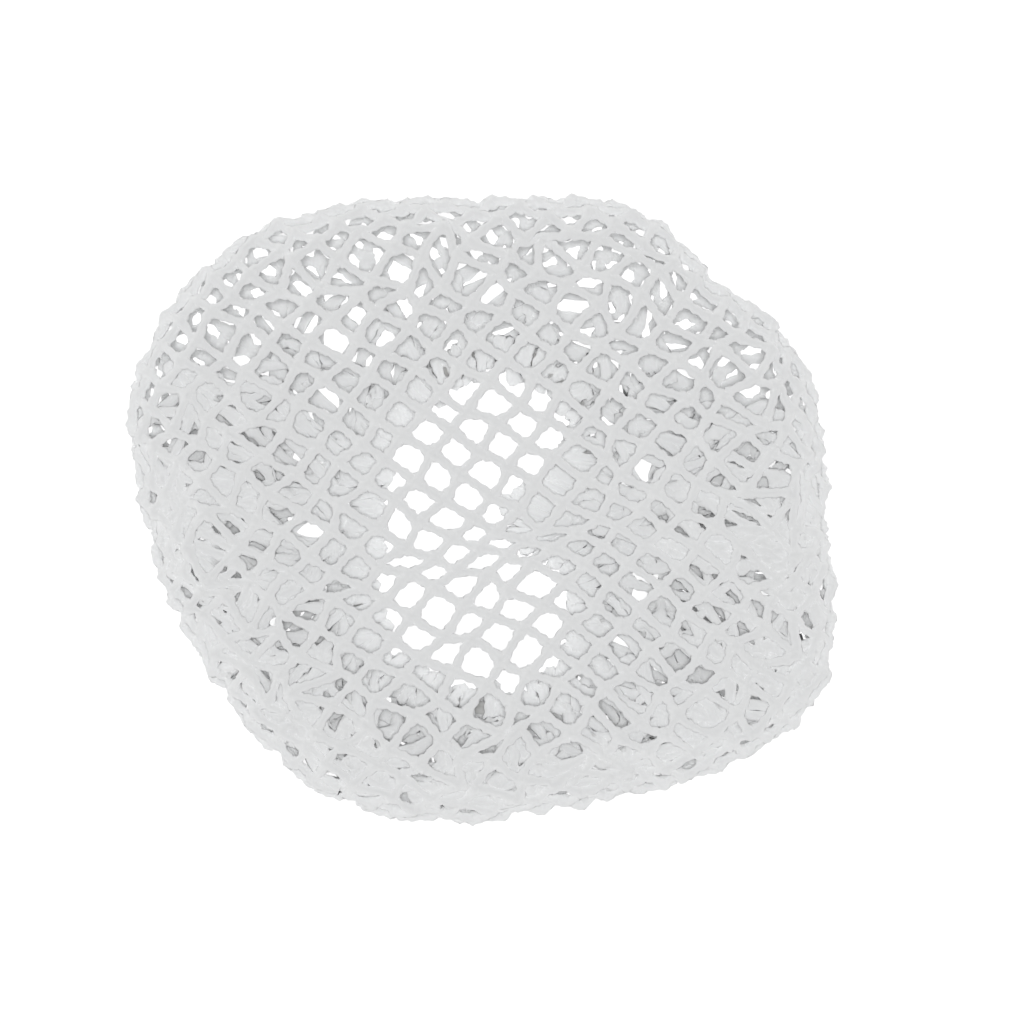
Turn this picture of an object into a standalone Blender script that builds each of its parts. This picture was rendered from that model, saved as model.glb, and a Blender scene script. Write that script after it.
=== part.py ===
"""Bun hairnet: a round knotted net, drawn together over an elastic and lying mouth down.

The net is one solid. A flat round blank of net, pierced with square gaps, is bent along a profile
that runs out from the middle of the crown, round the rolled outer fold, back underneath in pleats
and up round the elastic in a hem. Lengths are in metres, +Z is up, +X is the long way of the
outline, and the origin is on the surface the net lies on, under the middle of its outline.
"""
import math

import bmesh
import bpy
import numpy as np
from mathutils import Vector
from mathutils.geometry import delaunay_2d_cdt

# Outer form
NET_REACH = 0.0525          # from the middle to the outline, where FORM's reach share is 1
NET_HEIGHT = 0.016          # top of the rolled fold
CROWN_HEIGHT = 0.0115       # top of the crown in its middle, where it sags
FOLD_DEPTH = 0.0075         # how far the rolled fold stands out past the flat of the crown
WALL = 0.0013               # thickness of the knotted net

# Mouth and its hem
MOUTH_REACH = 0.0237        # from the mouth's middle to its edge, where FORM's mouth share is 1
MOUTH_SHIFT_X = -0.0033     # of the mouth's middle from the outline's
MOUTH_SHIFT_Y = -0.0022
ELASTIC_DIAMETER = 0.0020
ELASTIC_CLEARANCE = 0.0004  # between the elastic and the hem that wraps it
HEM_TURN = math.radians(250)
HEM_RUCHE = 0.0007          # how much the gathers swell the hem
HEM_SWELL_SHARE = 0.33      # of the hem's turn: fully swollen from here

# Pleats that gather the underside to the mouth
PLEATS = 18
PLEAT_HEIGHT = 0.0034       # on a pleat that is PLEAT_LENGTH long; a shorter one is lower
PLEAT_LENGTH = 0.018
FLAT_SHARE = 0.27           # of a pleat's way from fold to hem: flat up to here
CREST_SHARE = 0.62          # full height here
HEM_PULL = 0.4              # how far the hem's own direction reaches back into the pleats
EVENNESS = 0.75             # 0 spaces the pleats evenly by angle, 1 evenly along the mouth
NORMAL_STEP = math.radians(4)   # either side of a point, to find which way the mouth's edge runs

# Net. The bars lie on every second strand of the real net, so each gap is two cells each way.
NET_PITCH_ALONG = 0.0098    # from gap to gap along the bars that run down to the right
NET_PITCH_DOWN = 0.0090     # and along the bars that run down to the left
NET_BAR = 0.0020            # width of the bars left between gaps
NET_TURN_ALONG = math.radians(-33)
NET_TURN_DOWN = math.radians(-128.2)
NET_START_X = 0.0050        # the middle of one of the gaps, before the crease
NET_START_Y = 0.0161
PIERCED_FOLD_SHARE = 0.90   # how far round the rolled fold the gaps go
GAP_OUTLINE = ((-1, -1), (0, -1), (1, -1), (1, 0), (1, 1), (0, 1), (-1, 1), (-1, 0))
CELLS_EACH_WAY = math.ceil(2 * NET_REACH / NET_PITCH_DOWN)

# The crease across the crown draws up the net below it
CREASE_X = 0.0056
CREASE_Y = -0.0005
CREASE_TURN = math.radians(-80)     # the direction across the crease, towards what it draws up
CREASE_WIDTH = 0.0133
CREASE_PULL = 0.0044
CREASE_LEFT_SHARE = 0.47    # of the pull is left CREASE_LEFT_FADE to the left of the crease's point
CREASE_LEFT_FADE = 0.0178
CREASE_RIGHT_END = 0.0272   # and none this far to the right of it
CREASE_RIGHT_FADE = 0.026
CREASE_SLIP = -0.00075      # what it draws sideways in the middle, and how that grows outwards
CREASE_SPREAD = 0.070

# Faces along the form
SECTORS_PER_PLEAT = 4
FOLD_RINGS = 1
PLEAT_RING_SHARES = (0.04, 0.22, 0.27, 0.45, 0.62, 0.78, 1.00)
HEM_RINGS = 6

# The form round the net, a row every 15 degrees from +X towards +Y. The columns are the outline's
# reach, the mouth's reach and the height of the rolled fold, as shares of the sizes above.
FORM_COLUMNS = ("reach", "mouth", "height")
FORM = (
    (0.975, 0.47, 1.00),
    (0.995, 0.54, 1.00),
    (1.000, 0.72, 0.97),
    (0.930, 0.91, 0.90),
    (0.965, 1.01, 0.88),
    (0.920, 1.00, 0.88),
    (0.885, 0.89, 0.90),
    (0.920, 0.79, 0.92),
    (0.985, 0.72, 0.94),
    (1.045, 0.65, 0.97),
    (1.070, 0.57, 1.00),
    (1.045, 0.52, 1.00),
    (0.970, 0.50, 0.99),
    (0.935, 0.54, 0.97),
    (0.910, 0.63, 0.95),
    (0.920, 0.76, 0.93),
    (0.930, 0.89, 0.94),
    (0.910, 0.96, 0.96),
    (0.885, 1.01, 0.95),
    (0.880, 1.08, 0.94),
    (0.930, 1.08, 0.97),
    (1.015, 0.97, 1.00),
    (1.090, 0.80, 1.00),
    (1.035, 0.58, 1.00),
)

# Dents pressed into the crown. Place and length are shares of NET_REACH, direction is in degrees.
DENT_DEPTH = 0.0016
DENT_WIDTH = 0.0045
DENT_FADE_SHARE = 0.5       # of the way to the crown's rim: dents fade out from here
DENT_COLUMNS = ("across", "up", "direction", "length", "depth")
DENTS = (
    (0.02, -0.13, 4, 0.36, 1.0),
    (0.36, 0.10, 20, 0.26, 0.8),
    (-0.46, 0.10, 70, 0.30, 0.8),
    (0.10, 0.50, -30, 0.28, 0.6),
    (0.42, -0.42, -50, 0.26, 0.6),
)

FLOOR = WALL / 2            # height of the wall's middle where the net lies flat
HEM_RADIUS = ELASTIC_DIAMETER / 2 + ELASTIC_CLEARANCE + WALL / 2
MOUTH_STEPS = 720           # steps of the measured mouth edge
MERGE_DISTANCE = 1e-6       # closer points are one point

WHITE_COTTON = (0.83, 0.83, 0.83, 1.0)
WHITE_ELASTIC = (0.86, 0.86, 0.85, 1.0)


def clear_scene():
    for obj in list(bpy.data.objects):
        bpy.data.objects.remove(obj, do_unlink=True)


def make_material(name, color, roughness):
    material = bpy.data.materials.new(name)
    material.use_nodes = True
    shader = material.node_tree.nodes["Principled BSDF"]
    shader.inputs["Base Color"].default_value = color
    shader.inputs["Roughness"].default_value = roughness
    shader.inputs["Metallic"].default_value = 0.0
    return material


def smooth_step(share):
    """Rises from 0 to 1 with level ends."""
    share = np.clip(share, 0.0, 1.0)
    return share * share * (3.0 - 2.0 * share)


def form_share(angle, column):
    """A column of FORM at these angles, on a smooth closed curve through its rows."""
    values = np.array(FORM)[:, FORM_COLUMNS.index(column)]
    rows = len(values)
    place = np.asarray(angle) / (2 * math.pi) * rows
    row = np.floor(place).astype(int)
    t = place - row
    before, start, end, after = (values[(row + step) % rows] for step in (-1, 0, 1, 2))
    bend = 2 * before - 5 * start + 4 * end - after
    twist = 3 * start - before - 3 * end + after
    return start + 0.5 * t * (end - before + t * (bend + t * twist))


def direction(angle):
    return np.stack([np.cos(angle), np.sin(angle)], axis=-1)


def fold_start(angle):
    """Distance from the middle at which the crown turns over into the rolled fold."""
    return NET_REACH * form_share(angle, "reach") - WALL / 2 - FOLD_DEPTH


def fold_height(angle):
    return (NET_HEIGHT - WALL / 2) * form_share(angle, "height")


def fold_length(angle):
    """Length of net round the rolled fold, which is half an ellipse."""
    return math.pi / 2 * (FOLD_DEPTH + (fold_height(angle) - FLOOR) / 2)


def mouth_edge(angle):
    """A point on the mouth's edge, seen from above."""
    reach = MOUTH_REACH * form_share(angle, "mouth")
    return np.array([MOUTH_SHIFT_X, MOUTH_SHIFT_Y]) + reach[..., None] * direction(angle)


def mouth_normal(angle):
    """The direction, seen from above, that points from the mouth's edge into the net."""
    along = mouth_edge(angle + NORMAL_STEP) - mouth_edge(angle - NORMAL_STEP)
    outward = np.stack([along[..., 1], -along[..., 0]], axis=-1)
    return outward / np.linalg.norm(outward, axis=-1, keepdims=True)


def elastic_line(angle):
    """The middle of the elastic, seen from above."""
    return mouth_edge(angle) + (HEM_RADIUS + WALL / 2) * mouth_normal(angle)


def gather_turns():
    """Angles round the net, and the turn of the gathers at each of them.

    The turn runs from 0 to a full circle, partly with the angle and partly with the length of
    the mouth's edge, so that the pleats are nearly even where they meet the hem.
    """
    angles = np.linspace(0.0, 2 * math.pi, MOUTH_STEPS + 1)
    lengths = np.linalg.norm(np.diff(mouth_edge(angles), axis=0), axis=1)
    run = np.concatenate([[0.0], np.cumsum(lengths)])
    return angles, (1 - EVENNESS) * angles + EVENNESS * run / run[-1] * 2 * math.pi


def sector_angles():
    """The angles of the net's sectors, the same number of them in each pleat."""
    sectors = PLEATS * SECTORS_PER_PLEAT
    angles, turns = gather_turns()
    return np.interp(np.arange(sectors) / sectors * 2 * math.pi, turns, angles)


def pleat_wave(angle):
    """0 in the valleys between pleats and 1 on their crests."""
    angles, turns = gather_turns()
    return 0.5 - 0.5 * np.cos(PLEATS * np.interp(np.mod(angle, 2 * math.pi), angles, turns))


def dent_depth(across, up):
    """How far the dents press the crown down: a rounded trough along each row of DENTS."""
    depth = np.zeros_like(across)
    for row in DENTS:
        dent = dict(zip(DENT_COLUMNS, row))
        turn = math.radians(dent["direction"])
        east = across - dent["across"] * NET_REACH
        north = up - dent["up"] * NET_REACH
        along = (east * math.cos(turn) + north * math.sin(turn)) / (dent["length"] * NET_REACH)
        beside = (north * math.cos(turn) - east * math.sin(turn)) / DENT_WIDTH
        depth += DENT_DEPTH * dent["depth"] * np.exp(-along ** 2 - beside ** 2)
    return depth


def crown_place(angle, distance):
    """Crown: level with the fold at its rim, sagging in a smooth bowl towards the middle."""
    share = distance / fold_start(angle)
    middle = CROWN_HEIGHT - WALL / 2
    plan = distance[..., None] * direction(angle)
    fade = 1.0 - smooth_step((share - DENT_FADE_SHARE) / (1.0 - DENT_FADE_SHARE))
    height = middle + (fold_height(angle) - middle) * smooth_step(share)
    return np.column_stack([plan, height - fade * dent_depth(plan[..., 0], plan[..., 1])])


def fold_place(angle, share):
    """Rolled fold: half an ellipse from the crown's rim out, down and in to the floor."""
    rise = (fold_height(angle) - FLOOR) / 2
    reach = fold_start(angle) + FOLD_DEPTH * np.sin(math.pi * share)
    height = FLOOR + rise * (1.0 + np.cos(math.pi * share))
    return np.column_stack([reach[..., None] * direction(angle), height])


def underside_ends(angle):
    """Where the underside starts under the fold and where it ends under the elastic."""
    return fold_start(angle)[..., None] * direction(angle), elastic_line(angle)


def pleat_length(angle):
    """Length of a pleat: the underside without the flat strip that passes under the elastic."""
    start, end = underside_ends(angle)
    return np.linalg.norm(end - start, axis=-1) - 2 * HEM_RADIUS


def underside_place(angle, share):
    """Underside: a smooth way in from the fold, in pleats that are flat at both their ends.

    The share runs from 0 at the fold to 1 at the pleats' end, and past 1 under the elastic.
    """
    start, end = underside_ends(angle)
    pleat = pleat_length(angle)
    length = (pleat + 2 * HEM_RADIUS)[..., None]
    t = (share * pleat)[..., None] / length
    plan = (1 + 2 * t) * (1 - t) ** 2 * start + t * t * (3 - 2 * t) * end
    plan -= t * (1 - t) ** 2 * length * direction(angle)
    plan += t * t * (1 - t) * HEM_PULL * length * mouth_normal(angle)
    rise = smooth_step((share - FLAT_SHARE) / (CREST_SHARE - FLAT_SHARE))
    fall = smooth_step((share - CREST_SHARE) / (1.0 - CREST_SHARE))
    crest = PLEAT_HEIGHT * np.minimum(pleat / PLEAT_LENGTH, 1.0)
    return np.column_stack([plan, FLOOR + crest * rise * (1 - fall) * pleat_wave(angle)])


def hem_place(angle, share):
    """Hem: from under the elastic, round its mouth side and over it, swelling on each gather."""
    turn = HEM_TURN * share
    radius = HEM_RADIUS + HEM_RUCHE * pleat_wave(angle) * smooth_step(share / HEM_SWELL_SHARE)
    inward = (radius * np.sin(turn))[..., None] * mouth_normal(angle)
    height = FLOOR + HEM_RADIUS - radius * np.cos(turn)
    return np.column_stack([elastic_line(angle) - inward, height])


def creased(points):
    """Points of the flat blank with what the crease takes up: what lies below it is drawn up.

    The pull grows smoothly over the crease's width. Along the crease it about halves to the left
    and fades out to the right.
    """
    away = points - np.array([CREASE_X, CREASE_Y])
    below = smooth_step(away @ direction(CREASE_TURN) / CREASE_WIDTH)
    leftward = away @ direction(CREASE_TURN - math.pi / 2)
    pull = 1.0 - (1.0 - CREASE_LEFT_SHARE) * smooth_step(leftward / CREASE_LEFT_FADE)
    pull *= smooth_step((leftward + CREASE_RIGHT_END) / CREASE_RIGHT_FADE)
    slip = CREASE_SLIP + CREASE_SPREAD * np.clip(points[..., 0], -CREASE_LEFT_FADE, CREASE_LEFT_FADE)
    return points + below[..., None] * np.stack([slip, CREASE_PULL * pull], axis=-1)


def pierced_rim(angle):
    """Radius of the pierced part of the blank, which ends round on the rolled fold."""
    return fold_start(angle) + PIERCED_FOLD_SHARE * fold_length(angle)


def rim_margin(points):
    """How far points of the blank lie inside the rim of its pierced part."""
    return pierced_rim(np.arctan2(points[:, 1], points[:, 0])) - np.linalg.norm(points, axis=1)


def net_cells():
    """The gaps' outlines in the blank, and the points of the cells that the rim leaves whole."""
    along = direction(NET_TURN_ALONG)
    down = direction(NET_TURN_DOWN)
    sides = np.array(GAP_OUTLINE) / 2
    outline = np.array([NET_START_X, NET_START_Y])
    outline = outline + sides[:, :1] * (NET_PITCH_ALONG - NET_BAR) * along
    outline = outline + sides[:, 1:] * (NET_PITCH_DOWN - NET_BAR) * down
    gaps = []
    whole = []
    for column in range(-CELLS_EACH_WAY, CELLS_EACH_WAY + 1):
        for row in range(-CELLS_EACH_WAY, CELLS_EACH_WAY + 1):
            points = creased(outline + column * NET_PITCH_ALONG * along + row * NET_PITCH_DOWN * down)
            inside = rim_margin(points) > NET_BAR
            if inside.all():
                gaps.append(points)
            else:
                whole += list(points[inside])
    return gaps, whole


def in_gaps(points, gaps):
    """Whether points of the blank lie in one of its gaps.

    A point is in a gap where a line from it towards +X crosses the gap's outline once.
    """
    x, y = points[:, 0, None, None], points[:, 1, None, None]
    starts = np.array(gaps)
    ends = np.roll(starts, -1, axis=1)
    rise = ends[..., 1] - starts[..., 1]
    passed = (starts[..., 1] > y) != (ends[..., 1] > y)
    share = (y - starts[..., 1]) / np.where(rise == 0.0, 1.0, rise)
    crossed = passed & (x < starts[..., 0] + share * (ends[..., 0] - starts[..., 0]))
    return np.any(crossed.sum(axis=2) % 2 == 1, axis=1)


def net_blank():
    """The flat pierced blank: its points, and its triangles without those in the gaps.

    A point's distance from the middle of the blank is its way along the formed net.
    """
    angles = sector_angles()
    points = list(pierced_rim(angles)[:, None] * direction(angles))
    edges = [(number, (number + 1) % len(angles)) for number in range(len(angles))]
    gaps, whole = net_cells()
    for gap in gaps:
        first = len(points)
        edges += [(first + number, first + (number + 1) % len(gap)) for number in range(len(gap))]
        points += list(gap)
    vectors = [Vector(point) for point in points + whole]
    laid = delaunay_2d_cdt(vectors, edges, [], 1, MERGE_DISTANCE)
    flat = np.array([tuple(point) for point in laid[0]])
    triangles = np.array(laid[2])
    return flat, triangles[~in_gaps(flat[triangles].mean(axis=1), gaps)]


def formed_crown():
    """Points and triangles of the pierced crown and fold, bent to their form."""
    flat, triangles = net_blank()
    angle = np.arctan2(flat[:, 1], flat[:, 0])
    way = np.linalg.norm(flat, axis=1)
    start = fold_start(angle)
    crown = crown_place(angle, np.minimum(way, start))
    fold = fold_place(angle, np.maximum(way - start, 0.0) / fold_length(angle))
    return np.where((way <= start)[:, None], crown, fold), triangles


def band_rings():
    """Rings of points from the edge of the pierced part to the end of the hem."""
    angle = sector_angles()
    rings = []
    for share in np.linspace(PIERCED_FOLD_SHARE, 1.0, FOLD_RINGS + 1):
        rings.append(fold_place(angle, np.full_like(angle, share)))
    for share in PLEAT_RING_SHARES:
        rings.append(underside_place(angle, np.full_like(angle, share)))
    rings.append(hem_place(angle, np.zeros_like(angle)))
    for share in np.linspace(0.0, 1.0, HEM_RINGS + 1)[1:]:
        rings.append(hem_place(angle, np.full_like(angle, share)))
    return rings


def make_net(collection, material):
    """The net: the formed crown, a loft of rings behind it, and Solidify for its thickness."""
    mesh = bpy.data.meshes.new("net_pouch")
    shape = bmesh.new()
    places, triangles = formed_crown()
    verts = [shape.verts.new(place) for place in places]
    for triangle in triangles:
        shape.faces.new([verts[index] for index in triangle])
    rings = [[shape.verts.new(place) for place in ring] for ring in band_rings()]
    for outer, inner in zip(rings, rings[1:]):
        for number, vert in enumerate(outer):
            after = (number + 1) % len(outer)
            shape.faces.new([vert, inner[number], inner[after], outer[after]])
    bmesh.ops.remove_doubles(shape, verts=shape.verts, dist=MERGE_DISTANCE)
    loose = [vert for vert in shape.verts if not vert.link_faces]
    bmesh.ops.delete(shape, geom=loose, context="VERTS")
    bmesh.ops.recalc_face_normals(shape, faces=shape.faces)
    shape.to_mesh(mesh)
    shape.free()
    mesh.shade_smooth()
    mesh.materials.append(material)
    net = bpy.data.objects.new("net_pouch", mesh)
    collection.objects.link(net)
    wall = net.modifiers.new("Wall", "SOLIDIFY")
    wall.thickness = WALL
    wall.offset = 0.0
    return net


def make_elastic(collection, material):
    """The elastic: a closed round cord along the mouth, inside the hem."""
    line = elastic_line(sector_angles())
    curve = bpy.data.curves.new("mouth_elastic", "CURVE")
    curve.dimensions = "3D"
    curve.bevel_depth = ELASTIC_DIAMETER / 2
    curve.bevel_resolution = 2
    spline = curve.splines.new("POLY")
    spline.points.add(len(line) - 1)
    spline.use_cyclic_u = True
    for point, (x, y) in zip(spline.points, line):
        point.co = (x, y, FLOOR + HEM_RADIUS, 1.0)
    curve.materials.append(material)
    elastic = bpy.data.objects.new("mouth_elastic", curve)
    collection.objects.link(elastic)
    return elastic


def main():
    clear_scene()
    collection = bpy.data.collections.new("bun_hairnet")
    bpy.context.scene.collection.children.link(collection)
    make_net(collection, make_material("white_cotton_net", WHITE_COTTON, 0.9))
    make_elastic(collection, make_material("white_elastic", WHITE_ELASTIC, 0.6))


main()
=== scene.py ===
"""Looks of a white bun hairnet that lies mouth down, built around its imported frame.

The net is one flat lattice of knotted cotton strands. It is laid over the crown, round the rolled
fold, back underneath in gathers, and round the elastic in a hem. Each place on it follows from the
place in the flat net: how far that is from the middle, and in which direction. Lengths are in
metres, +Z is up, and the camera looks straight down, as the photograph does.
"""
import math

import bpy
import numpy as np
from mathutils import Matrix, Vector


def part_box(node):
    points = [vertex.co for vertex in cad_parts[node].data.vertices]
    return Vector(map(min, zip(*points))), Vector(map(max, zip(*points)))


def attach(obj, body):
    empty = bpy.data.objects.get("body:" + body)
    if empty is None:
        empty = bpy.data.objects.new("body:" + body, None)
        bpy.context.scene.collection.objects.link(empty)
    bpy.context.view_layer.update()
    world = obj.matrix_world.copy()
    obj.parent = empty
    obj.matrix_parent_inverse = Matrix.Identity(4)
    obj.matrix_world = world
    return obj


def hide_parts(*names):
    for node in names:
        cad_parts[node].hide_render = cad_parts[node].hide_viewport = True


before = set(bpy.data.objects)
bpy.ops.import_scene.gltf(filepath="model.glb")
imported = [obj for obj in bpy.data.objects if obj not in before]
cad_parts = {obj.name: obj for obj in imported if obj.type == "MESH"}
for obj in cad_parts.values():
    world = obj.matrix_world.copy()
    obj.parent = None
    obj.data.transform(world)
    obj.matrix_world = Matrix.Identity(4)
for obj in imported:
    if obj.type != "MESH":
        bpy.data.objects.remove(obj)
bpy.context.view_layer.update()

# Sizes that the frame gives
NET_LOW, NET_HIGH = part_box("net_pouch")
ELASTIC_LOW, ELASTIC_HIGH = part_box("mouth_elastic")
OUTLINE_SPAN = 2.0086       # width of the outline, in reaches of FORM
MOUTH_SPAN = 2.3229         # length of the elastic's loop across the mouth, in reaches of FORM
NET_REACH = (NET_HIGH.x - NET_LOW.x) / OUTLINE_SPAN
NET_HEIGHT = NET_HIGH.z
MOUTH_REACH = (ELASTIC_HIGH.y - ELASTIC_LOW.y) / MOUTH_SPAN
ELASTIC_RADIUS = (ELASTIC_HIGH.z - ELASTIC_LOW.z) / 2
ELASTIC_HEIGHT = (ELASTIC_HIGH.z + ELASTIC_LOW.z) / 2

# Form of the net
CROWN_HEIGHT = 0.0115       # top of the crown in the middle, without its dents
FOLD_DEPTH = 0.0075         # how far the rolled fold reaches out past the crown's rim
WALL = 0.0013               # thickness of the net
MOUTH_SHIFT = np.array([-0.0033, -0.0022])      # the mouth's middle from the outline's
HEM_TURN = math.radians(250)    # how far round the elastic the hem goes
HEM_RUCHE = 0.0007          # how far the hem swells on each of its gathers
HEM_SWELL_SHARE = 0.33      # of the hem's turn: the swelling is full from here
PLEATS = 18                 # gathers round the hem
PLEAT_HEIGHT = 0.0034
PLEAT_LENGTH = 0.018        # where the underside is shorter than this, the pleats are lower
HEM_PULL = 0.4              # how squarely the net runs into the hem
EVENNESS = 0.75             # 1 spaces the gathers by the mouth's length, 0 by direction
DENT_DEPTH = 0.0016
DENT_WIDTH = 0.0045
DENT_FADE_SHARE = 0.5       # of the crown's reach: the dents fade out from here
FLOOR = WALL / 2            # height of the net's middle where it lies on the floor
HEM_RADIUS = ELASTIC_HEIGHT - FLOOR

# Steps for lengths and directions, and the least way and vector that anything is divided by
MOUTH_STEPS = 720
NORMAL_STEP = math.radians(4)
NET_STEP = 1e-4
TINY_WAY = 1e-9
TINY_VECTOR = 1e-12

# Towards the crown's rim the net is rumpled, and the rolled fold takes up more net than it shows
RUMPLE_START_SHARE = 0.55
RUMPLE = 0.0008             # how far knots stray there
RUMPLE_FADES = 3            # it fades out over the fold's length divided by this
FOLD_FULLNESS = 1.3         # length of net for each length of the fold's surface

# The underside doubles over itself where TUCK is 1: in, back out under the crown, and in again
TUCK_INNER_SHARE = 0.45     # of the way from fold to hem: where it first turns back
TUCK_REACH = 0.0042         # how far past the crown's rim the doubled layer reaches into the fold
TUCK_TURN = 0.0010          # radius of the inner turn
TUCK_OUTER_TURN = 0.0014    # and of the outer one
TUCK_RISE = 0.0088          # how much the doubled layer climbs towards the outside
TUCK_HOLD_SHARE = 0.15      # of the last way in: up to here it stays close under the crown

LAYER_GAP = 0.0013          # from the middle of one layer to the next, where they lie close
FOLD_CLEARANCE = 1.5        # of these gaps the gathers keep to the fold's outside

# On the mouth's right the loose net billows over the hem into the mouth
BILLOW = 0.0050             # how far
BILLOW_LIFT_SHARE = 0.5     # of that it rises
BILLOW_ANGLE = math.radians(4)
BILLOW_WIDTH = math.radians(19)

# Ripples in the rolled fold: how many go round, how deep each set is, and how it slants
RIPPLE_COUNTS = (23, 47)
RIPPLE_SIZES = (0.00025, 0.00030)
RIPPLE_SLANTS = (2.0, -3.1)

# The gathers lie over each other in flat folds, a long one and a short one mixed
GATHER_COUNTS = (18, 29)
GATHER_SWINGS = (1.7, 0.9)  # past 1 in all, the net runs back over itself
GATHER_SLANTS = (9.0, -15.0)    # turns of the folds with the way in, in radians over the gathers
GATHER_FULL_SHARE = 0.30    # of the way in: the folds are full from here
GATHER_EASE_SHARE = 0.78    # and ease out towards the hem from here

# The form round the net, a row every 15 degrees from +X towards +Y
FORM_COLUMNS = ("reach", "mouth", "height", "tuck")
FORM = (
    (0.975, 0.47, 1.00, 1.0),
    (0.995, 0.54, 1.00, 0.7),
    (1.000, 0.72, 0.97, 0.2),
    (0.930, 0.91, 0.90, 0.0),
    (0.965, 1.01, 0.88, 0.0),
    (0.920, 1.00, 0.88, 0.0),
    (0.885, 0.89, 0.90, 0.0),
    (0.920, 0.79, 0.92, 0.0),
    (0.985, 0.72, 0.94, 0.0),
    (1.045, 0.65, 0.97, 0.0),
    (1.070, 0.57, 1.00, 0.5),
    (1.045, 0.52, 1.00, 0.9),
    (0.970, 0.50, 0.99, 1.0),
    (0.935, 0.54, 0.97, 1.0),
    (0.910, 0.63, 0.95, 1.0),
    (0.920, 0.76, 0.93, 1.0),
    (0.930, 0.89, 0.94, 1.0),
    (0.910, 0.96, 0.96, 1.0),
    (0.885, 1.01, 0.95, 1.0),
    (0.880, 1.08, 0.94, 1.0),
    (0.930, 1.08, 0.97, 1.0),
    (1.015, 0.97, 1.00, 1.0),
    (1.090, 0.80, 1.00, 1.0),
    (1.035, 0.58, 1.00, 1.0),
)

# Dents in the crown. Place and length are shares of NET_REACH, direction is in degrees.
DENT_COLUMNS = ("across", "up", "direction", "length", "depth")
DENTS = (
    (0.02, -0.13, 4, 0.36, 1.0),
    (0.36, 0.10, 20, 0.26, 0.8),
    (-0.46, 0.10, 70, 0.30, 0.8),
    (0.10, 0.50, -30, 0.28, 0.6),
    (0.42, -0.42, -50, 0.26, 0.6),
)

# Lattice of strands in the flat net
CELL_ALONG = 0.0049         # from knot to knot on the strands that run down to the right
CELL_DOWN = 0.0045          # on the strands that run down to the left
ALONG_TURN = math.radians(-33)
DOWN_TURN = math.radians(-128.2)
FIRST_CELL = np.array([0.0043, 0.0192])
CELLS_EACH_WAY = 42
KNOT_DRIFT = 0.00036        # how far knots stray in the flat net
KNOT_LIFT = 0.00022         # and out of it
STRAND_BOW = 0.00016        # how far a strand bows between two knots
TANGLE = 0.0012             # how far the loose knots of the gathers stray in space
TANGLE_START = 0.006        # over this way from the fold the gathers come loose
TANGLE_HEM_SHARE = 0.35     # of TANGLE is left at the hem

# The crease across the crown draws up the net below it
CREASE_POINT = np.array([0.0056, -0.0005])
CREASE_TURN = math.radians(-80)     # the direction across the crease, towards what it draws up
CREASE_WIDTH = 0.0133
CREASE_PULL = 0.0044
CREASE_LEFT_SHARE = 0.47    # of the pull is left CREASE_LEFT_FADE to the left of the crease's point
CREASE_LEFT_FADE = 0.0178
CREASE_RIGHT_END = 0.0272   # and none this far to the right of it
CREASE_RIGHT_FADE = 0.026
CREASE_SLIP = -0.00075      # what it draws sideways in the middle, and how that grows outwards
CREASE_SPREAD = 0.070

# Strands
STRAND_RADIUS = 0.00064
STRAND_FLUFF = 0.15         # share that the slack strands of the gathers swell by
STRAND_UNEVEN = 0.09        # share by which its radius strays along it
UNEVEN_POINTS = 3           # in each cell, between which that drifts
STRAND_RAGGED = 0.07        # how far its surface strays from its radius, from point to point
MOST_RAGGED = 2.0           # times that at most
PLY_DEPTH = 0.16            # how deep the groove between the strand's two plies is
PLY_TURN_LENGTH = 0.0034    # of strand, over which its plies wind round once
KNOT_SWELL = 0.00040        # extra radius where strands cross
KNOT_WIDTH = 0.00115        # and how far along the strand it reaches
SHORTEST_RUN = 4            # places: a shorter run of strand is left out
SEED = 5

# The net's pieces and the kind of each. For each kind, the step along a strand, in cells, and the
# number of points round it. The flat sizes are added up over SECTORS.
REGIONS = ("net_crown", "net_rolled_fold", "net_gathers_left", "net_gathers_right")
REGION_KIND = ("crown", "fold", "gathers", "gathers")
STEP_SHARE = {"crown": 1 / 12, "fold": 1 / 10, "gathers": 1 / 7}
SIDES = {"crown": 8, "fold": 8, "gathers": 7}
SECTORS = 1440

# The elastic's mesh, and the two sets of ridges of its braided cover
ELASTIC_RINGS = 720
ELASTIC_SIDES = 20
ELASTIC_RIDGES = 5          # round it in each set
ELASTIC_RELIEF = 0.05       # half the ridges' height, as a share of the radius
ELASTIC_WIND_LENGTH = 0.004     # over which a ridge moves on by one

# Picture
PIXEL = 0.10500 / 708       # size of a pixel of the photograph
PICTURE_PIXELS = 1024
CENTRE_PIXEL = (484, 510)   # the outline's middle in the photograph
CAMERA_HEIGHT = 1.2
CAMERA_FAR = 10.0
SENSOR = 36.0
FOCUS_HEIGHT = 0.010        # the height at which a pixel is PIXEL wide

# Cotton: its colour, the colour of its duller patches, and the fineness of patches and fibres
COTTON_COLOR = (0.93, 0.935, 0.935)
COTTON_SHADE = (0.89, 0.895, 0.90)
COVER_COLOR = (0.70, 0.70, 0.69)
COVER_SHADE = (0.62, 0.62, 0.61)
PATCH_SCALE = 260.0
FIBRE_SCALE = 3200.0
FIBRE_DEPTH = 0.0001

# Floor, lamps (name, place, size and power) and the light of the room
FLOOR_HALF = 2.0
FLOOR_COLOR = (0.8, 0.8, 0.8, 1.0)
FLOOR_GLOW = 0.5
LAMPS = (
    ("lamp_above", (0.006, 0.002, 2.0), 0.25, 19.5),
    ("lamp_left", (-0.9, 0.1, 0.6), 0.8, 0.5),
)
ROOM_LIGHT = 0.24
WHITE = (1.0, 1.0, 1.0, 1.0)


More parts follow.
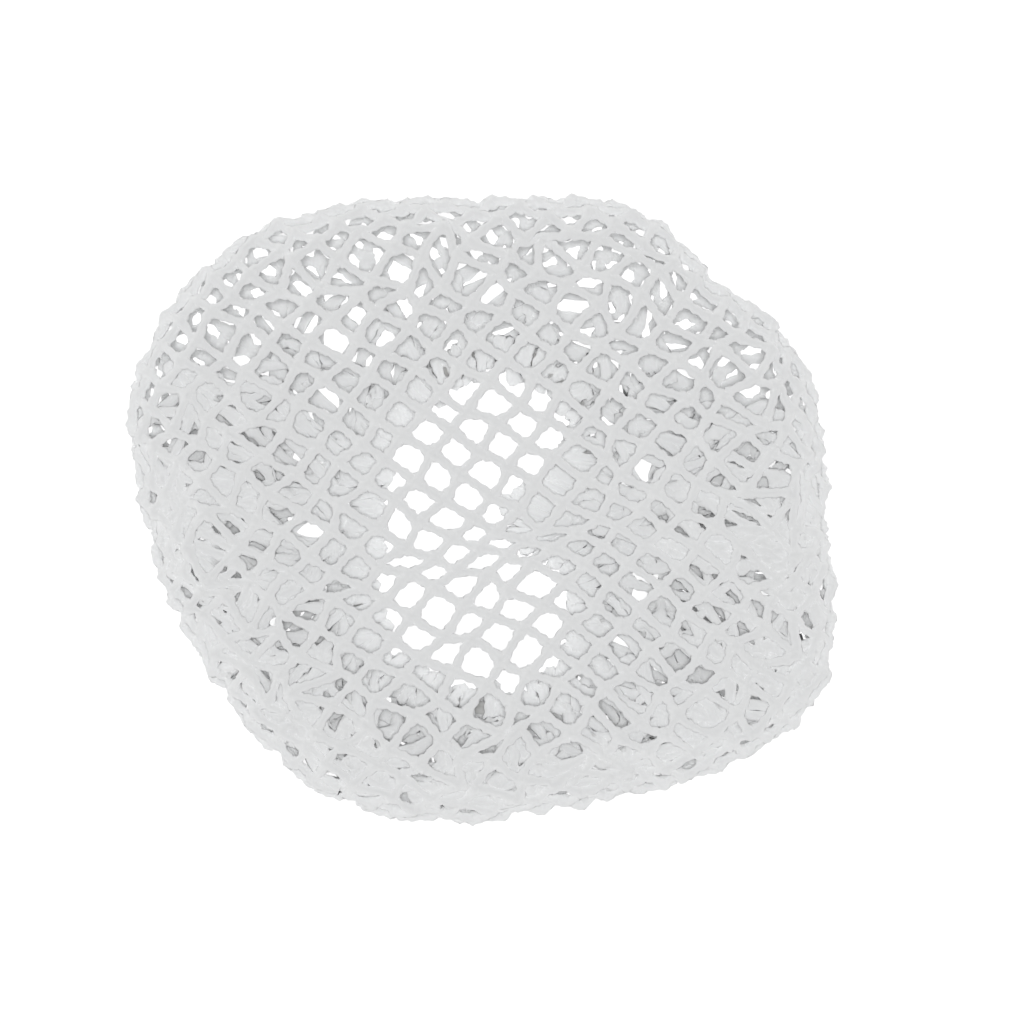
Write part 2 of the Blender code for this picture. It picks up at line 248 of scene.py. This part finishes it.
def smooth_step(share):
    """Rises from 0 to 1 with level ends."""
    share = np.clip(share, 0.0, 1.0)
    return share * share * (3.0 - 2.0 * share)


def form_share(angle, column):
    """A column of FORM at these angles, on a smooth closed curve through its rows.

    From each row to the next it is a cubic, whose slope at a row is half the difference of the
    rows on its two sides.
    """
    values = np.array(FORM)[:, FORM_COLUMNS.index(column)]
    rows = len(values)
    place = np.asarray(angle) / (2 * math.pi) * rows
    row = np.floor(place).astype(int)
    t = place - row
    before, start, end, after = (values[(row + step) % rows] for step in (-1, 0, 1, 2))
    bend = 2 * before - 5 * start + 4 * end - after
    twist = 3 * start - before - 3 * end + after
    return start + 0.5 * t * (end - before + t * (bend + t * twist))


def direction(angle):
    """Seen from above, cos and sin of the angle."""
    return np.stack([np.cos(angle), np.sin(angle)], axis=-1)


def fold_start(angle):
    """Distance from the middle at which the crown turns over into the rolled fold."""
    return NET_REACH * form_share(angle, "reach") - WALL / 2 - FOLD_DEPTH


def fold_height(angle):
    """Height of the net's middle on top of the rolled fold."""
    return (NET_HEIGHT - WALL / 2) * form_share(angle, "height")


def fold_length(angle):
    """Length of net round the rolled fold, which is half an ellipse, with what its ripples take up."""
    return FOLD_FULLNESS * math.pi / 2 * (FOLD_DEPTH + (fold_height(angle) - FLOOR) / 2)


def mouth_edge(angle):
    """The mouth's edge, seen from above: its middle plus its reach times the direction."""
    reach = MOUTH_REACH * form_share(angle, "mouth")
    return MOUTH_SHIFT + reach[..., None] * direction(angle)


def mouth_normal(angle):
    """The direction, seen from above, that points from the mouth's edge into the net."""
    along = mouth_edge(angle + NORMAL_STEP) - mouth_edge(angle - NORMAL_STEP)
    outward = np.stack([along[..., 1], -along[..., 0]], axis=-1)
    return outward / np.linalg.norm(outward, axis=-1, keepdims=True)


def elastic_line(angle):
    """The middle of the elastic, seen from above."""
    return mouth_edge(angle) + (HEM_RADIUS + WALL / 2) * mouth_normal(angle)


def gather_turn(angle):
    """The turn of the gathers at each angle, partly by the length of the mouth's edge."""
    angles = np.linspace(0.0, 2 * math.pi, MOUTH_STEPS + 1)
    lengths = np.linalg.norm(np.diff(mouth_edge(angles), axis=0), axis=1)
    run = np.concatenate([[0.0], np.cumsum(lengths)])
    turns = (1 - EVENNESS) * angles + EVENNESS * run / run[-1] * 2 * math.pi
    return np.interp(np.mod(angle, 2 * math.pi), angles, turns)


def pleat_wave(angle):
    """0 in the valleys between the hem's gathers and 1 on their crests."""
    return 0.5 - 0.5 * np.cos(PLEATS * gather_turn(angle))


def dent_depth(across, up):
    """How far the dents press the crown down: a rounded trough along each row of DENTS."""
    depth = np.zeros_like(across)
    for row in DENTS:
        dent = dict(zip(DENT_COLUMNS, row))
        turn = math.radians(dent["direction"])
        east = across - dent["across"] * NET_REACH
        north = up - dent["up"] * NET_REACH
        along = (east * math.cos(turn) + north * math.sin(turn)) / (dent["length"] * NET_REACH)
        beside = (north * math.cos(turn) - east * math.sin(turn)) / DENT_WIDTH
        depth += DENT_DEPTH * dent["depth"] * np.exp(-along ** 2 - beside ** 2)
    return depth


def crown_place(angle, way):
    """Crown: level with the fold at its rim, sagging in a smooth bowl towards the middle.

    Its height goes from the middle's to the fold's by smooth_step of the way's share, less the
    dents, which fade out towards the rim.
    """
    share = way / fold_start(angle)
    middle = CROWN_HEIGHT - WALL / 2
    plan = way[:, None] * direction(angle)
    fade = 1.0 - smooth_step((share - DENT_FADE_SHARE) / (1.0 - DENT_FADE_SHARE))
    height = middle + (fold_height(angle) - middle) * smooth_step(share)
    return np.column_stack([plan, height - fade * dent_depth(plan[:, 0], plan[:, 1])])


def fold_place(angle, way):
    """Rolled fold: half an ellipse from the crown's rim out, down and in to the floor.

    Each set of ripples takes from its reach the set's size times (1 plus sin of (count times the
    angle plus slant times the turn)), most halfway round.
    """
    turn = math.pi * way / fold_length(angle)
    rise = (fold_height(angle) - FLOOR) / 2
    reach = fold_start(angle) + FOLD_DEPTH * np.sin(turn)
    for count, size, slant in zip(RIPPLE_COUNTS, RIPPLE_SIZES, RIPPLE_SLANTS):
        reach -= size * np.sin(turn) * (1 + np.sin(count * angle + slant * turn))
    return np.column_stack([reach[:, None] * direction(angle), FLOOR + rise * (1.0 + np.cos(turn))])


def underside_ends(angle):
    """Where the underside starts under the fold and where it ends under the elastic."""
    return fold_start(angle)[:, None] * direction(angle), elastic_line(angle)


def underside_length(angle):
    """The straight way across the underside, from the fold to the elastic."""
    start, end = underside_ends(angle)
    return np.linalg.norm(end - start, axis=1)


def tuck_sizes(angle):
    """For each angle: the plan way in to the first turn, the doubled length and the turns' radii."""
    tuck = np.clip(form_share(angle, "tuck"), 0.0, 1.0)
    inner = TUCK_INNER_SHARE * underside_length(angle)
    return inner, tuck * (inner + TUCK_REACH), tuck * TUCK_TURN, tuck * TUCK_OUTER_TURN


def gather_folds(angle, share):
    """Where the flat folds take the net round the mouth, and how high they lie, from 0 to 1.

    Each set of folds adds a wave to the angle. Where the waves run backwards steeply enough, the
    net runs back over itself, and the height's wave is a quarter behind, so that layer lies on top.
    """
    full = smooth_step(share / GATHER_FULL_SHARE)
    full *= 1.0 - smooth_step((share - GATHER_EASE_SHARE) / (1.0 - GATHER_EASE_SHARE))
    turn = gather_turn(angle)
    folded = angle.copy()
    height = np.zeros_like(angle)
    for count, swing, slant in zip(GATHER_COUNTS, GATHER_SWINGS, GATHER_SLANTS):
        phase = count * turn + slant * share
        folded += full * swing / count * np.sin(phase)
        height -= full * swing / sum(GATHER_SWINGS) * np.sin(phase)
    return folded, 0.5 * full + 0.5 * height


def gather_length(angle):
    """Length of net from the fold to the hem, with what is doubled over."""
    inner, back, turn, outer_turn = tuck_sizes(angle)
    return underside_length(angle) + 2 * back + math.pi * (turn + outer_turn)


def gather_place(angle, way):
    """Underside: in from the fold, where tucked back out and in again, with pleats on the way.

    The plan way in is x, and the layers' height over the floor is h. Half circles join the legs.
    """
    inner, back, turn, outer_turn = tuck_sizes(angle)
    length = underside_length(angle)
    x = np.minimum(way, inner)
    h = np.zeros_like(way)
    rest = way - inner
    bend = np.clip(rest / np.maximum(math.pi * turn, TINY_WAY), 0.0, 1.0) * math.pi
    x += turn * np.sin(bend)
    h += turn * (1 - np.cos(bend))
    rest -= math.pi * turn
    leg = np.clip(rest, 0.0, back)
    x -= leg
    h += TUCK_RISE * smooth_step(leg / np.maximum(back, TINY_WAY)) * turn / TUCK_TURN
    rest -= back
    bend = np.clip(rest / np.maximum(math.pi * outer_turn, TINY_WAY), 0.0, 1.0) * math.pi
    x -= outer_turn * np.sin(bend)
    h += outer_turn * (1 - np.cos(bend))
    rest -= math.pi * outer_turn
    leg = np.maximum(rest, 0.0)
    x += leg
    share = leg / np.maximum(length - inner + back, TINY_WAY)
    hold = TUCK_HOLD_SHARE * np.clip(back / inner, 0.0, 1.0)
    h *= 1 - smooth_step((share - hold) / (1 - hold))
    folded, layer = gather_folds(angle, way / gather_length(angle))
    start, end = underside_ends(folded)
    t = (x / length)[:, None]
    span = np.linalg.norm(end - start, axis=1, keepdims=True)
    plan = (1 + 2 * t) * (1 - t) ** 2 * start + t * t * (3 - 2 * t) * end
    plan -= t * (1 - t) ** 2 * span * direction(folded)
    plan += t * t * (1 - t) * HEM_PULL * span * mouth_normal(folded)
    crest = PLEAT_HEIGHT * np.minimum((length - 2 * HEM_RADIUS) / PLEAT_LENGTH, 1.0)
    return np.column_stack([plan, FLOOR + h + crest * layer])


def roof_height(plan):
    """Height of the crown, or of the fold's upper half, over these places."""
    angle = np.arctan2(plan[:, 1], plan[:, 0])
    way = np.linalg.norm(plan, axis=1)
    start = fold_start(angle)
    past = np.clip((way - start) / FOLD_DEPTH, 0.0, 1.0)
    rise = (fold_height(angle) - FLOOR) / 2
    over_fold = FLOOR + rise * (1.0 + np.sqrt(1.0 - past * past))
    return np.where(way <= start, crown_place(angle, np.minimum(way, start))[:, 2], over_fold)


def settled(places):
    """Places of the gathers, kept inside the rolled fold and under the crown."""
    angle = np.arctan2(places[:, 1], places[:, 0])
    way = np.linalg.norm(places[:, :2], axis=1)
    limit = fold_start(angle) + FOLD_DEPTH - FOLD_CLEARANCE * LAYER_GAP
    plan = places[:, :2] * np.minimum(1.0, limit / np.maximum(way, TINY_WAY))[:, None]
    return np.column_stack([plan, np.minimum(places[:, 2], roof_height(plan) - LAYER_GAP)])


def hem_place(angle, way):
    """Hem: from under the elastic, round its mouth side and over it, swelling on each gather.

    It lies its radius times sin of the turn on the mouth's side of the elastic's middle, and its
    radius times cos of the turn below it. The billow adds to both, most at the mouth.
    """
    turn = way / HEM_RADIUS
    radius = HEM_RADIUS + HEM_RUCHE * pleat_wave(angle) * smooth_step(turn / HEM_TURN / HEM_SWELL_SHARE)
    off = np.mod(angle - BILLOW_ANGLE + math.pi, 2 * math.pi) - math.pi
    billow = BILLOW * np.exp(-(off / BILLOW_WIDTH) ** 2) * np.clip(np.sin(turn), 0.0, 1.0)
    inward = (radius * np.sin(turn) + billow)[:, None] * mouth_normal(angle)
    height = FLOOR + HEM_RADIUS - radius * np.cos(turn) + BILLOW_LIFT_SHARE * billow
    return np.column_stack([elastic_line(angle) - inward, height])


def net_ways(angle):
    """The ways from the middle at which the crown, the fold, the gathers and the hem end."""
    crown = fold_start(angle)
    fold = crown + fold_length(angle)
    gathers = fold + gather_length(angle)
    return crown, fold, gathers, gathers + HEM_TURN * HEM_RADIUS


def net_place(flat):
    """The places in space of points of the flat net."""
    angle = np.arctan2(flat[:, 1], flat[:, 0])
    way = np.linalg.norm(flat, axis=1)
    crown, fold, gathers, hem = net_ways(angle)
    places = np.empty((len(flat), 3))
    parts = (
        (crown_place, np.zeros_like(way), way <= crown),
        (fold_place, crown, (way > crown) & (way <= fold)),
        (gather_place, fold, (way > fold) & (way <= gathers)),
        (hem_place, gathers, way > gathers),
    )
    for place, begin, inside in parts:
        if inside.any():
            places[inside] = place(angle[inside], (way - begin)[inside])
    return places


def net_normal(flat, places):
    """The net's outward directions, across a small step each way in the flat net."""
    east = net_place(flat + [NET_STEP, 0.0]) - places
    north = net_place(flat + [0.0, NET_STEP]) - places
    normal = np.cross(east, north)
    return normal / np.maximum(np.linalg.norm(normal, axis=1, keepdims=True), TINY_VECTOR)


def creased(flat):
    """The flat net with what the crease takes up: what lies below it is drawn up.

    The pull grows smoothly over the crease's width. Along the crease it about halves to the left
    and fades out to the right.
    """
    away = flat - CREASE_POINT
    below = smooth_step(away @ direction(CREASE_TURN) / CREASE_WIDTH)
    leftward = away @ direction(CREASE_TURN - math.pi / 2)
    pull = 1.0 - (1.0 - CREASE_LEFT_SHARE) * smooth_step(leftward / CREASE_LEFT_FADE)
    pull *= smooth_step((leftward + CREASE_RIGHT_END) / CREASE_RIGHT_FADE)
    slip = CREASE_SLIP + CREASE_SPREAD * np.clip(flat[..., 0], -CREASE_LEFT_FADE, CREASE_LEFT_FADE)
    return flat + below[..., None] * np.stack([slip, CREASE_PULL * pull], axis=-1)


def looseness(flat):
    """0 in the crown and the fold, 1 in the gathers, and less again at the hem."""
    crown, fold, gathers, hem = net_ways(np.arctan2(flat[:, 1], flat[:, 0]))
    way = np.linalg.norm(flat, axis=1)
    held = (1.0 - TANGLE_HEM_SHARE) * smooth_step((way - gathers) / TANGLE_START + 1.0)
    return smooth_step((way - fold) / TANGLE_START) * (1.0 - held)


def rumple(flat):
    """How far knots stray towards the crown's rim and at the start of the fold, as shares of TANGLE."""
    crown, fold, gathers, hem = net_ways(np.arctan2(flat[:, 1], flat[:, 0]))
    way = np.linalg.norm(flat, axis=1)
    grown = smooth_step((way / crown - RUMPLE_START_SHARE) / (1 - RUMPLE_START_SHARE))
    return RUMPLE / TANGLE * grown * (1 - smooth_step((way - crown) / (fold - crown) * RUMPLE_FADES))


def bow(along, bows):
    """Sideways drift between knots: a half wave in each cell, by its own amount."""
    cell = np.floor(along).astype(int)
    return np.sin(math.pi * (along - cell)) * bows[cell % len(bows)]


def drift(along, values):
    """Values at whole numbers, carried smoothly to the places between them.

    The curve is made of cubics like form_share's, and isn't closed.
    """
    cell = np.floor(along).astype(int)
    t = (along - cell)[:, None]
    last = len(values) - 1
    before, start, end, after = (values[np.clip(cell + step, 0, last)] for step in (-1, 0, 1, 2))
    bend = 2 * before - 5 * start + 4 * end - after
    twist = 3 * start - before - 3 * end + after
    return start + 0.5 * t * (end - before + t * (bend + t * twist))


def lattice_flat(column, row):
    """Places in the flat net from the lattice's column and row."""
    along = CELL_ALONG * direction(ALONG_TURN)
    down = CELL_DOWN * direction(DOWN_TURN)
    flat = FIRST_CELL + np.asarray(column)[..., None] * along
    return creased(flat + np.asarray(row)[..., None] * down)


def strand_tube(path, normal, radius, ragged, ply_start):
    """A tube along a path, with a groove on two sides that winds round it, and closed ends.

    Ring point k of a place is the place plus radius times (cos of its turn times the net's normal
    plus sin of its turn times the normal's cross with the path). The radius swells and narrows
    twice round the ring, and that pattern turns on along the path. Ragged is what each ring point
    adds to 1 of its radius.
    """
    sides = ragged.shape[1]
    ahead = np.gradient(path, axis=0)
    ahead /= np.maximum(np.linalg.norm(ahead, axis=1, keepdims=True), TINY_VECTOR)
    side = np.cross(ahead, normal)
    side /= np.maximum(np.linalg.norm(side, axis=1, keepdims=True), TINY_VECTOR)
    up = np.cross(side, ahead)
    run = np.concatenate([[0.0], np.cumsum(np.linalg.norm(np.diff(path, axis=0), axis=1))])
    turn = np.arange(sides) / sides * 2 * math.pi
    plies = np.cos(2 * (turn[None] - 2 * math.pi * run[:, None] / PLY_TURN_LENGTH) + ply_start)
    reach = radius[:, None] * (1 + PLY_DEPTH * plies + ragged)
    ring = path[:, None] + reach[..., None] * (
        np.cos(turn)[None, :, None] * up[:, None] + np.sin(turn)[None, :, None] * side[:, None]
    )
    count = len(path)
    points = np.concatenate([ring.reshape(-1, 3), path[:1], path[-1:]])
    here = np.arange(count - 1)[:, None] * sides + np.arange(sides)[None]
    after = np.arange(count - 1)[:, None] * sides + (np.arange(sides)[None] + 1) % sides
    quads = np.stack([here, after, after + sides, here + sides], axis=-1).reshape(-1, 4)
    first = np.arange(sides)
    second = (first + 1) % sides
    low_cap = np.stack([second, first, np.full(sides, count * sides)], axis=-1)
    last = (count - 1) * sides
    high_cap = np.stack([last + first, last + second, np.full(sides, count * sides + 1)], axis=-1)
    along = np.repeat(run[:, None], sides, axis=1).ravel()
    round_it = np.repeat(turn[None] / (2 * math.pi), count, axis=0).ravel()
    pattern = np.column_stack([np.append(along, [0.0, run[-1]]), np.append(round_it, [0.5, 0.5])])
    return points, quads, np.concatenate([low_cap, high_cap]), pattern


def make_mesh_object(name, points, quads, triangles, pattern, material):
    """A mesh from arrays, smooth, with pattern as its UV map and its faces turned outwards."""
    mesh = bpy.data.meshes.new(name)
    corners = np.concatenate([quads.ravel(), triangles.ravel()]).astype(np.int32)
    sizes = np.concatenate([np.full(len(quads), 4), np.full(len(triangles), 3)]).astype(np.int32)
    starts = np.concatenate([[0], np.cumsum(sizes)[:-1]]).astype(np.int32)
    mesh.vertices.add(len(points))
    mesh.vertices.foreach_set("co", points.astype(np.float32).ravel())
    mesh.loops.add(len(corners))
    mesh.loops.foreach_set("vertex_index", corners)
    mesh.polygons.add(len(sizes))
    mesh.polygons.foreach_set("loop_start", starts)
    mesh.polygons.foreach_set("use_smooth", np.ones(len(sizes), bool))
    layer = mesh.uv_layers.new(name="strand")
    layer.data.foreach_set("uv", pattern[corners].astype(np.float32).ravel())
    mesh.update(calc_edges=True)
    mesh.validate()
    obj = bpy.data.objects.new(name, mesh)
    bpy.context.scene.collection.objects.link(obj)
    mesh.materials.append(material)
    return obj


def region_of(flat):
    """Which piece of the net each place belongs to: its number, or -1 past the net's edge."""
    angle = np.arctan2(flat[:, 1], flat[:, 0])
    way = np.linalg.norm(flat, axis=1)
    crown, fold, gathers, hem = net_ways(angle)
    left = np.abs(angle) > math.pi / 2
    region = np.where(way <= crown, 0, np.where(way <= fold, 1, np.where(left, 2, 3)))
    return np.where(way <= hem, region, -1)


def strand_runs(wanted, seed):
    """Every run of strand inside one region, with all that strand_tube needs to make it.

    Strands of one set keep their row and run along the columns, and the other set's the reverse.
    Both follow the same drifting knots, so they meet where they cross.
    """
    random = np.random.default_rng(seed)
    count = 2 * CELLS_EACH_WAY
    knots = random.normal(0.0, 1.0, (count, count, 3)) * [KNOT_DRIFT, KNOT_DRIFT, KNOT_LIFT]
    tangle = random.normal(0.0, TANGLE, (count, count, 3))
    bows = random.normal(0.0, STRAND_BOW, (2, count, count))
    uneven = random.normal(0.0, STRAND_UNEVEN, (2, count, UNEVEN_POINTS * count, 1))
    step = STEP_SHARE[REGION_KIND[wanted]]
    along = np.arange(0.0, count - 1, step)
    for family in (0, 1):
        for line in range(count):
            strayed = drift(along, knots[:, line] if family == 0 else knots[line])
            loose = drift(along, tangle[:, line] if family == 0 else tangle[line])
            across = np.full_like(along, line - CELLS_EACH_WAY - 0.5)
            run = along - CELLS_EACH_WAY - 0.5
            flat = lattice_flat(run, across) if family == 0 else lattice_flat(across, run)
            sideways = direction(DOWN_TURN if family == 0 else ALONG_TURN)
            flat = flat + strayed[:, :2] + bow(along, bows[family, line])[:, None] * sideways
            inside = region_of(flat) == wanted
            edges = np.flatnonzero(np.diff(np.concatenate([[False], inside, [False]]).astype(int)))
            for begin, end in edges.reshape(-1, 2):
                begin, end = max(begin - 1, 0), min(end + 1, len(along))
                if end - begin < SHORTEST_RUN:
                    continue
                part = slice(begin, end)
                places = net_place(flat[part])
                normal = net_normal(flat[part], places)
                places = places + strayed[part, 2:] * normal
                if REGION_KIND[wanted] != "gathers":
                    places = places + rumple(flat[part])[:, None] * loose[part]
                else:
                    places = settled(places + looseness(flat[part])[:, None] * loose[part])
                to_knot = np.abs(along[part] - np.round(along[part]))
                pitch = CELL_ALONG if family == 0 else CELL_DOWN
                radius = STRAND_RADIUS * (1 + STRAND_FLUFF * looseness(flat[part]))
                strayed_radius = drift(along[part] * UNEVEN_POINTS, uneven[family, line])[:, 0]
                radius = radius * (1 + strayed_radius)
                radius = radius + KNOT_SWELL * np.exp(-(to_knot * pitch / KNOT_WIDTH) ** 2)
                ragged = random.normal(0.0, 1.0, (len(radius), SIDES[REGION_KIND[wanted]]))
                ragged = STRAND_RAGGED * np.clip(ragged, -MOST_RAGGED, MOST_RAGGED)
                lowest = radius * (1 + PLY_DEPTH + MOST_RAGGED * STRAND_RAGGED)
                places[:, 2] = np.maximum(places[:, 2], lowest)
                yield places, normal, radius, ragged, random.uniform(0, 2 * math.pi)


def make_net_piece(region, material):
    """All the strands of one region as one mesh."""
    parts = []
    offset = 0
    for path, normal, radius, ragged, ply_start in strand_runs(region, SEED):
        points, quads, triangles, pattern = strand_tube(path, normal, radius, ragged, ply_start)
        parts.append((points, quads + offset, triangles + offset, pattern))
        offset += len(points)
    points, quads, triangles, pattern = (np.concatenate(column) for column in zip(*parts))
    return make_mesh_object(REGIONS[region], points, quads, triangles, pattern, material)


def flat_sizes():
    """Flat size of each region: (width, length) and area, by adding up narrow sectors."""
    angle = np.linspace(-math.pi, math.pi, SECTORS, endpoint=False)
    step = angle[1] - angle[0]
    crown, fold, gathers, hem = net_ways(angle)
    left = np.abs(angle) > math.pi / 2
    sizes = []
    for inner, outer, chosen in (
        (np.zeros_like(crown), crown, np.ones_like(left)),
        (crown, fold, np.ones_like(left)),
        (fold, hem, left),
        (fold, hem, ~left),
    ):
        rim = outer[chosen, None] * direction(angle[chosen])
        width, length = rim.max(axis=0) - rim.min(axis=0)
        if not chosen.all():
            width = np.abs(rim[:, 0]).max()
        area = float(np.sum((outer ** 2 - inner ** 2)[chosen]) * step / 2)
        sizes.append(((float(width), float(length)), area))
    return sizes


def make_elastic(material):
    """The elastic: a closed round cord along the mouth, with the low relief of its braided cover.

    Ring point k is the cord's middle plus its radius times (cos of the turn times up plus sin of
    the turn times the outward normal). Two sets of ridges wind round it, one each way.
    """
    rings, sides = ELASTIC_RINGS, ELASTIC_SIDES
    ridges, relief = ELASTIC_RIDGES, ELASTIC_RELIEF
    angle = np.linspace(0.0, 2 * math.pi, rings, endpoint=False)
    line = elastic_line(angle)
    outward = mouth_normal(angle)
    run = np.concatenate([[0.0], np.cumsum(np.linalg.norm(np.diff(line, axis=0), axis=1))])
    length = run[-1] + np.linalg.norm(line[0] - line[-1])
    winds = 2 * math.pi * round(length / ELASTIC_WIND_LENGTH) * run[:, None] / length
    turn = np.arange(sides)[None] / sides * 2 * math.pi
    weave = np.maximum(np.cos(ridges * turn + winds), np.cos(ridges * turn - winds))
    reach = ELASTIC_RADIUS * (1 - relief + relief * weave)
    plan = line[:, None] + (reach * np.sin(turn))[..., None] * outward[:, None]
    points = np.concatenate([plan, (ELASTIC_HEIGHT + reach * np.cos(turn))[..., None]], axis=-1)
    points = points.reshape(-1, 3)
    here = np.arange(rings)[:, None] * sides + np.arange(sides)[None]
    beside = np.arange(rings)[:, None] * sides + (np.arange(sides)[None] + 1) % sides
    next_here, next_beside = np.roll(here, -1, axis=0), np.roll(beside, -1, axis=0)
    quads = np.stack([here, beside, next_beside, next_here], axis=-1).reshape(-1, 4)
    pattern = np.column_stack([
        np.repeat(run, sides), np.tile(np.arange(sides) / sides, rings)
    ])
    no_triangles = np.empty((0, 3), int)
    return make_mesh_object("braided_elastic", points, quads, no_triangles, pattern, material)


def make_cotton(name, color, shade):
    """Soft twisted cotton: a pale matte colour, uneven from fibre to fibre, with a fine fuzzy relief."""
    material = bpy.data.materials.new(name)
    material.use_nodes = True
    nodes, links = material.node_tree.nodes, material.node_tree.links
    shader = nodes["Principled BSDF"]
    shader.inputs["Roughness"].default_value = 0.95
    shader.inputs["Diffuse Roughness"].default_value = 1.0
    shader.inputs["Specular IOR Level"].default_value = 0.15
    shader.inputs["Sheen Weight"].default_value = 0.1
    shader.inputs["Sheen Roughness"].default_value = 0.5
    place = nodes.new("ShaderNodeTexCoord")
    patches = nodes.new("ShaderNodeTexNoise")
    patches.inputs["Scale"].default_value = PATCH_SCALE
    patches.inputs["Detail"].default_value = 3.0
    ramp = nodes.new("ShaderNodeMixRGB")
    ramp.inputs["Color1"].default_value = (*shade, 1.0)
    ramp.inputs["Color2"].default_value = (*color, 1.0)
    fibres = nodes.new("ShaderNodeTexNoise")
    fibres.inputs["Scale"].default_value = FIBRE_SCALE
    fibres.inputs["Detail"].default_value = 2.0
    relief = nodes.new("ShaderNodeBump")
    relief.inputs["Strength"].default_value = 0.55
    relief.inputs["Distance"].default_value = FIBRE_DEPTH
    links.new(place.outputs["Object"], patches.inputs["Vector"])
    links.new(place.outputs["Object"], fibres.inputs["Vector"])
    links.new(patches.outputs["Fac"], ramp.inputs["Fac"])
    links.new(ramp.outputs["Color"], shader.inputs["Base Color"])
    links.new(fibres.outputs["Fac"], relief.inputs["Height"])
    links.new(relief.outputs["Normal"], shader.inputs["Normal"])
    return material


def make_stage():
    """A plain white floor, far wider than the net."""
    mesh = bpy.data.meshes.new("floor")
    half = FLOOR_HALF
    corners = [(-half, -half, 0), (half, -half, 0), (half, half, 0), (-half, half, 0)]
    mesh.from_pydata(corners, [], [(0, 1, 2, 3)])
    floor = bpy.data.objects.new("floor", mesh)
    bpy.context.scene.collection.objects.link(floor)
    material = bpy.data.materials.new("white_floor")
    material.use_nodes = True
    shader = material.node_tree.nodes["Principled BSDF"]
    shader.inputs["Base Color"].default_value = FLOOR_COLOR
    shader.inputs["Emission Color"].default_value = WHITE
    shader.inputs["Emission Strength"].default_value = FLOOR_GLOW
    shader.inputs["Roughness"].default_value = 1.0
    shader.inputs["Specular IOR Level"].default_value = 0.0
    mesh.materials.append(material)


def make_light(name, place, size, power):
    """A square lamp, turned to shine on the net."""
    data = bpy.data.lights.new(name, "AREA")
    data.shape = "SQUARE"
    data.size = size
    data.energy = power
    lamp = bpy.data.objects.new(name, data)
    bpy.context.scene.collection.objects.link(lamp)
    lamp.location = place
    lamp.rotation_euler = (-lamp.location).to_track_quat("-Z", "Y").to_euler()


def make_lights():
    """A soft lamp above, a faint one from the left, and a pale room round them."""
    for lamp in LAMPS:
        make_light(*lamp)
    world = bpy.data.worlds.new("pale_room")
    bpy.context.scene.world = world
    world.use_nodes = True
    background = world.node_tree.nodes["Background"]
    background.inputs["Color"].default_value = WHITE
    background.inputs["Strength"].default_value = ROOM_LIGHT
    bpy.context.scene.view_settings.view_transform = "Standard"


def make_camera():
    """Straight above, with a long lens, framed so that the outline lands where the photograph's is."""
    data = bpy.data.cameras.new("camera")
    picture_width = PICTURE_PIXELS * PIXEL
    data.sensor_width = SENSOR
    data.lens = SENSOR * (CAMERA_HEIGHT - FOCUS_HEIGHT) / picture_width
    data.clip_end = CAMERA_FAR
    camera = bpy.data.objects.new("camera", data)
    bpy.context.scene.collection.objects.link(camera)
    middle = PICTURE_PIXELS / 2
    camera.location = (
        (middle - CENTRE_PIXEL[0]) * PIXEL, (CENTRE_PIXEL[1] - middle) * PIXEL, CAMERA_HEIGHT
    )
    bpy.context.scene.camera = camera


def main():
    """The four pieces of the net, the elastic, and what they are seen in."""
    cotton = make_cotton("white_cotton", COTTON_COLOR, COTTON_SHADE)
    for region, (flat, area) in enumerate(flat_sizes()):
        piece = make_net_piece(region, cotton)
        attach(piece, "root")
        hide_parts("net_pouch")
    elastic = make_elastic(make_cotton("white_elastic_cover", COVER_COLOR, COVER_SHADE))
    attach(elastic, "root")
    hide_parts("mouth_elastic")
    make_stage()
    make_lights()
    make_camera()


main()
